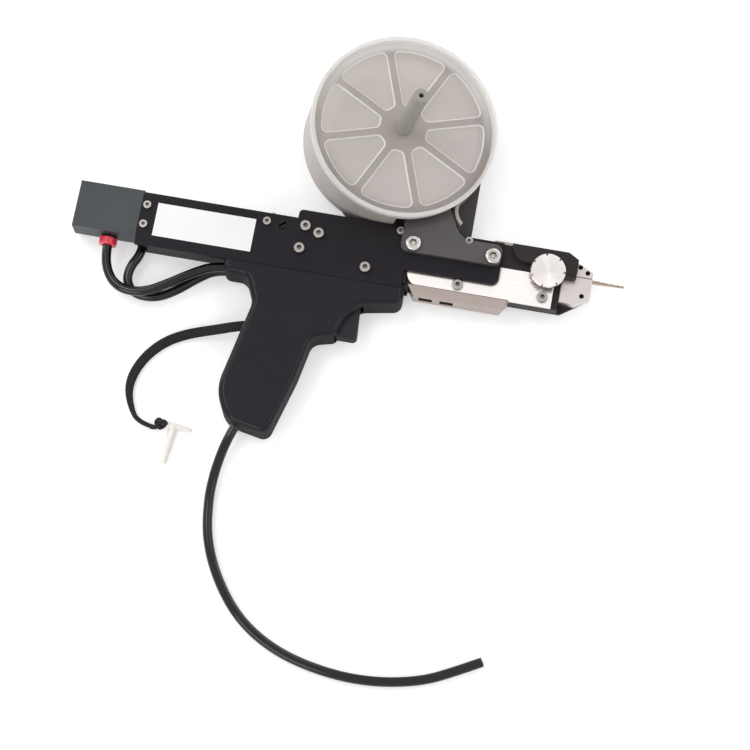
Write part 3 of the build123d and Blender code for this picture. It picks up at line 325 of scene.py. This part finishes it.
dressed = {
    "black_plate": ("left_side_plate", "right_side_plate", "base_rail", "top_rail", "reel_mount_block"),
    "nose_black": ("front_frame", "nose_block"),
    "support_black": ("reel_support_plate",),
    "grey_block": ("cylinder_block",),
    "bracket_grey": ("reel_bracket",),
    "bright": ("cover_plate", "cylinder_tube", "rod_gland", "piston", "driver_slide", "valve_body",
               "valve_plug"),
    "guard": ("guard_rail", "stock_guide", "stop_pin"),
    "jaw": ("lower_jaw", "upper_jaw"),
    "knob": ("feed_knob",),
    "needle": ("needle", "ejector_rod"),
    "screw": ("piston_rod", "feed_shaft", "feed_sprocket", "reel_axle", "trigger_pin", "valve_stem",
              "strap_pin", "rear_screws", "small_screws", "body_screws", "cover_screws"),
    "warm_screw": ("bracket_screws",),
    "dark_screw": ("flow_adjuster", "guard_screws", "nose_screws", "grip_screws"),
    "bronze": ("feed_bushing",),
    "slide_plastic": ("slide_guide",),
    "seal": ("piston_seals",),
    "frosted": ("reel_case",),
    "hub": ("reel_hub",),
    "moulded": ("grip_left_half", "grip_right_half", "port_fitting"),
    # The trigger's brighter moulding is painted light
    "trigger_lit_moulding": ("trigger",),
    "red": ("release_collar",),
    "white": ("t_key",),
    "label": ("label_plate",),
}
for look, names in dressed.items():
    for name in names:
        for holder in nodes[name].material_slots:
            holder.link = "OBJECT"
            holder.material = looks[look]


# Tubes, laces and coils

def follow(name, route):
    """Points along the smooth line that has the route, in millimetres, as its control points."""
    curve = bpy.data.curves.new(name, "CURVE")
    curve.dimensions = "3D"
    spline = curve.splines.new("NURBS")
    spline.points.add(len(route) - 1)
    for point, place in zip(spline.points, route):
        point.co = (*(mm * v for v in place), 1)
    spline.order_u = 3
    spline.use_endpoint_u = True
    spline.resolution_u = 16
    holder = bpy.data.objects.new(name, curve)
    scene.collection.objects.link(holder)
    bpy.context.view_layer.update()
    mesh = bpy.data.meshes.new_from_object(holder)
    points = [v.co.copy() for v in mesh.vertices]
    bpy.data.objects.remove(holder)
    bpy.data.meshes.remove(mesh)
    bpy.data.curves.remove(curve)
    return points


def headings(points):
    """The line's direction at each point."""
    last = len(points) - 1
    return [(points[min(i + 1, last)] - points[max(i - 1, 0)]).normalized() for i in range(len(points))]


def crosswise(points):
    """Two directions across the line at each point, turned as little as can be from one to the next."""
    pairs = []
    side = None
    for ahead in headings(points):
        side = ahead.orthogonal() if side is None else side - ahead * side.dot(ahead)
        side = side.normalized()
        pairs.append((side, ahead.cross(side)))
    return pairs


def distances(points):
    """How far along the line each point is."""
    run = [0.0]
    for a, b in zip(points, points[1:]):
        run.append(run[-1] + (b - a).length)
    return run


def ring(centre, across, radius, sides):
    turns = (2 * math.pi * k / sides for k in range(sides))
    return [centre + radius * (math.cos(t) * across[0] + math.sin(t) * across[1]) for t in turns]


def round_rings(points, radius, sides):
    return [ring(p, across, radius, sides) for p, across in zip(points, crosswise(points))]


def skin(name, rings, runs, material, closed):
    """A smooth mesh over rings of points, with its length and turn as UVs.

    A closed one joins its last ring to its first, others get end caps."""
    sides, count = len(rings[0]), len(rings)
    work = bmesh.new()
    layer = work.loops.layers.uv.new("UVMap")
    verts = [[work.verts.new(p) for p in row] for row in rings]
    for i in range(count if closed else count - 1):
        j = (i + 1) % count
        for k in range(sides):
            m = (k + 1) % sides
            face = work.faces.new((verts[i][k], verts[i][m], verts[j][m], verts[j][k]))
            face.smooth = True
            turns = (k / sides, (k + 1) / sides, (k + 1) / sides, k / sides)
            for loop, run, turn in zip(face.loops, (runs[i], runs[i], runs[j], runs[j]), turns):
                loop[layer].uv = (run, turn)
    if not closed:
        work.faces.new(verts[0])
        work.faces.new(verts[-1])
    bmesh.ops.recalc_face_normals(work, faces=work.faces)
    mesh = bpy.data.meshes.new(name)
    work.to_mesh(mesh)
    work.free()
    mesh.materials.append(material)
    piece = bpy.data.objects.new(name, mesh)
    scene.collection.objects.link(piece)
    return piece


def hose(name, points, outer, bore):
    """A hollow tube with square-cut ends."""
    sides = 28
    runs = distances(points)
    outside, inside = round_rings(points, outer / 2, sides), round_rings(points, bore / 2, sides)
    return skin(name, outside + inside[::-1], runs + runs[::-1], looks["hose"], True)


def at(pairs, share):
    """The size at a share of the length, between (share, size) pairs that straight lines join."""
    for (a, low), (b, high) in zip(pairs, pairs[1:]):
        if share <= b:
            return low + (high - low) * max(0.0, share - a) / (b - a)
    return pairs[-1][1]


def lace(name, points, widths, thicks):
    """A woven lace that lies on its side, with a shallow furrow along its middle where it is flat.

    widths and thicks are pairs for at(), in millimetres."""
    sides = 32
    furrow_depth, furrow_width, flat_from = 0.35, 0.22, 1.2
    runs = distances(points)
    rings = []
    for p, ahead, run in zip(points, headings(points), runs):
        side = ahead.cross(Vector((0, 0, 1))).normalized()
        up = side.cross(ahead)
        share = run / runs[-1]
        half, thick = at(widths, share) * mm / 2, at(thicks, share) * mm / 2
        depth = furrow_depth if half > flat_from * thick else 0.0
        section = []
        for k in range(sides):
            turn = 2 * math.pi * k / sides
            across = math.cos(turn)
            rise = math.sin(turn) * (1 - depth * math.exp(-(across / furrow_width) ** 2))
            section.append(p + half * across * side + thick * rise * up)
        rings.append(section)
    return skin(name, rings, runs, looks["braid"], False)


def stand_in(piece, node):
    """A piece on the frame that replaces a node, which it hides."""
    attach(piece, "frame")
    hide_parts(node)


# Hoses

rear_route = ((-127, -15.5, 13), (-127, -29, 13), (-121, -43.5, 13.4), (-110.5, -50.5, 14.2),
              (-96, -50, 15.2), (-81, -41.5, 16.2), (-66, -31.5, 17), (-52, -24.2, 17), (-38.8, -24.2, 17))
front_route = ((-104, -15, 8.5), (-104.6, -23, 8.5), (-109.6, -32, 8.2), (-110.4, -42, 7.4), (-104, -50, 6.6),
               (-89, -50.4, 6.8), (-76, -43, 7.4), (-64, -32.5, 8.4), (-51.5, -24.2, 9), (-38.8, -24.2, 9))
supply_route = ((-16, -120, 13), (-20, -129.5, 12.8), (-23.3, -139.5, 11.8), (-26, -150.5, 8.6),
                (-27.9, -163, 5), (-28.2, -178, 3.4), (-24.5, -202.5, 3.4), (-13.2, -227, 3.4),
                (5.9, -251, 3.4), (32.8, -267, 3.4), (66, -274.8, 3.4), (97, -275.6, 3.4),
                (127.5, -269.6, 3.4), (149, -259, 3.4), (163.8, -250.7, 3.4))
hose_outer, hose_bore = 6.35 * mm, 4.3 * mm
for name, route, length, far_end in (
        ("rear_hose", rear_route, 0.1193, "object"),
        ("front_hose", front_route, 0.1132, "object"),
        ("supply_hose", supply_route, 0.3086, "bare")):
    line = follow(name + "_line", route)
    piece = hose(name + "_tube", line, hose_outer, hose_bore)
    stand_in(piece, name)


# Wrist strap, knotted round the key

strap_route = ((-18, -58.6, 13), (-30, -61.4, 13), (-42, -64.6, 9.5), (-54, -67.2, 5), (-66, -71, 2.7),
               (-77.6, -78, 2.7), (-87.2, -88.6, 2.7), (-93.2, -100.8, 2.7), (-94.8, -113, 2.7),
               (-91, -124.5, 2.7), (-84.5, -134.5, 2.7), (-73.5, -136, 2.7))
strap_widths = ((0, 7.0), (0.5, 7.0), (0.7, 6.4), (0.88, 3.4), (1, 3.0))
strap_thicks = ((0, 2.6), (0.72, 2.8), (0.88, 2.9), (1, 2.8))
strap_line = follow("strap_line", strap_route)
strap = lace("strap_lace", strap_line, strap_widths, strap_thicks)
stand_in(strap, "wrist_strap")

knot_route = ((-75.0, -136.0, 2.6), (-72.0, -136.6, 3.6), (-69.6, -134.6, 5.6), (-68.8, -131.6, 5.4),
              (-70.8, -130.6, 4.0), (-72.2, -132.4, 2.6), (-71.0, -134.4, 1.9), (-69.2, -135.8, 2.2),
              (-67.4, -135.0, 3.0), (-65.6, -133.0, 4.6), (-65.4, -132.6, 6.4), (-67.6, -131.8, 6.6),
              (-70.2, -132.8, 5.4))
knot_widths, knot_thicks = ((0, 3.2), (1, 2.9)), ((0, 2.8), (1, 2.7))
knot = lace("knot_cord", follow("knot_line", knot_route), knot_widths, knot_thicks)
stand_in(knot, "strap_knot")


# Valve spring, as a fixed coil

spring_rear, spring_length = (-0.007, -0.050, 0.013), 9.0 * mm
spring_wire, spring_radius, spring_turns = 0.8 * mm, 3.2 * mm, 5
steps_per_turn, wire_sides = 28, 10
spring_steps = steps_per_turn * spring_turns
coil = []
for i in range(spring_steps + 1):
    share = i / spring_steps
    turn = 2 * math.pi * spring_turns * share
    along = spring_wire / 2 + (spring_length - spring_wire) * share
    arm = Vector((along, spring_radius * math.sin(turn), -spring_radius * math.cos(turn)))
    coil.append(Vector(spring_rear) + arm)
spring = skin("spring_coil", round_rings(coil, spring_wire / 2, wire_sides), distances(coil),
              looks["screw"], False)
stand_in(spring, "valve_spring")
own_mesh(spring)


# Floor and light

def background_rays(tree):
    """1 for the rays that show the background: the camera's, and those reflected or let through."""
    path = tree.nodes.new("ShaderNodeLightPath")
    shown = path.outputs["Is Camera Ray"]
    for kind in ("Is Glossy Ray", "Is Transmission Ray"):
        either = tree.nodes.new("ShaderNodeMath")
        either.operation = "MAXIMUM"
        tree.links.new(shown, either.inputs[0])
        tree.links.new(path.outputs[kind], either.inputs[1])
        shown = either.outputs[0]
    return shown


def plain(name, grey, glow):
    """A floor that glows a little as background, so that only the shadow shows on it."""
    material = bpy.data.materials.new(name)
    material.use_nodes = True
    tree = material.node_tree
    tree.nodes.clear()
    matt = tree.nodes.new("ShaderNodeBsdfDiffuse")
    matt.inputs["Color"].default_value = (grey, grey, grey, 1)
    strength = tree.nodes.new("ShaderNodeMath")
    strength.operation = "MULTIPLY"
    strength.inputs[1].default_value = glow
    tree.links.new(background_rays(tree), strength.inputs[0])
    emission = tree.nodes.new("ShaderNodeEmission")
    tree.links.new(strength.outputs[0], emission.inputs["Strength"])
    both = tree.nodes.new("ShaderNodeAddShader")
    tree.links.new(matt.outputs[0], both.inputs[0])
    tree.links.new(emission.outputs[0], both.inputs[1])
    surface = tree.nodes.new("ShaderNodeOutputMaterial")
    tree.links.new(both.outputs[0], surface.inputs["Surface"])
    return material


floor_reach, floor_drop = 4.0, 0.3 * mm
corners = [(x * floor_reach, y * floor_reach, 0) for x, y in ((-1, -1), (1, -1), (1, 1), (-1, 1))]
floor_mesh = bpy.data.meshes.new("floor")
floor_mesh.from_pydata(corners, [], [(0, 1, 2, 3)])
floor_mesh.materials.append(plain("floor", grey=0.8, glow=0.42))
floor = bpy.data.objects.new("floor", floor_mesh)
floor.location.z = -floor_drop
scene.collection.objects.link(floor)

sky_light, sky_white = 0.62, 1.0
world = bpy.data.worlds.new("world")
scene.world = world
world.use_nodes = True
sky = world.node_tree
back = sky.nodes["Background"]
back.inputs["Color"].default_value = (1, 1, 1, 1)
level = sky.nodes.new("ShaderNodeMapRange")
level.inputs["To Min"].default_value = sky_light
level.inputs["To Max"].default_value = sky_white
sky.links.new(background_rays(sky), level.inputs["Value"])
sky.links.new(level.outputs[0], back.inputs["Strength"])


def lamp(name, place, aim, width, height, watts):
    data = bpy.data.lights.new(name, "AREA")
    data.shape = "RECTANGLE"
    data.size, data.size_y = width, height
    data.energy = watts
    light = bpy.data.objects.new(name, data)
    light.location = place
    light.rotation_euler = (Vector(aim) - Vector(place)).to_track_quat("-Z", "Y").to_euler()
    scene.collection.objects.link(light)


middle = (0.05, -0.05, 0)
lamp("key", (-0.81, 0.24, 1.79), middle, width=0.5, height=0.5, watts=5)
lamp("streak", (-1.5, 1.2, 0.8), middle, width=2.0, height=0.4, watts=12)
lamp("rim", (0.9, 1.4, 0.55), middle, width=1.6, height=0.25, watts=7)
lamp("right", (1.35, 0.1, 1.45), middle, width=1.4, height=0.3, watts=4)
lamp("fill", (-0.6, -1.2, 0.9), middle, width=0.9, height=0.9, watts=6)
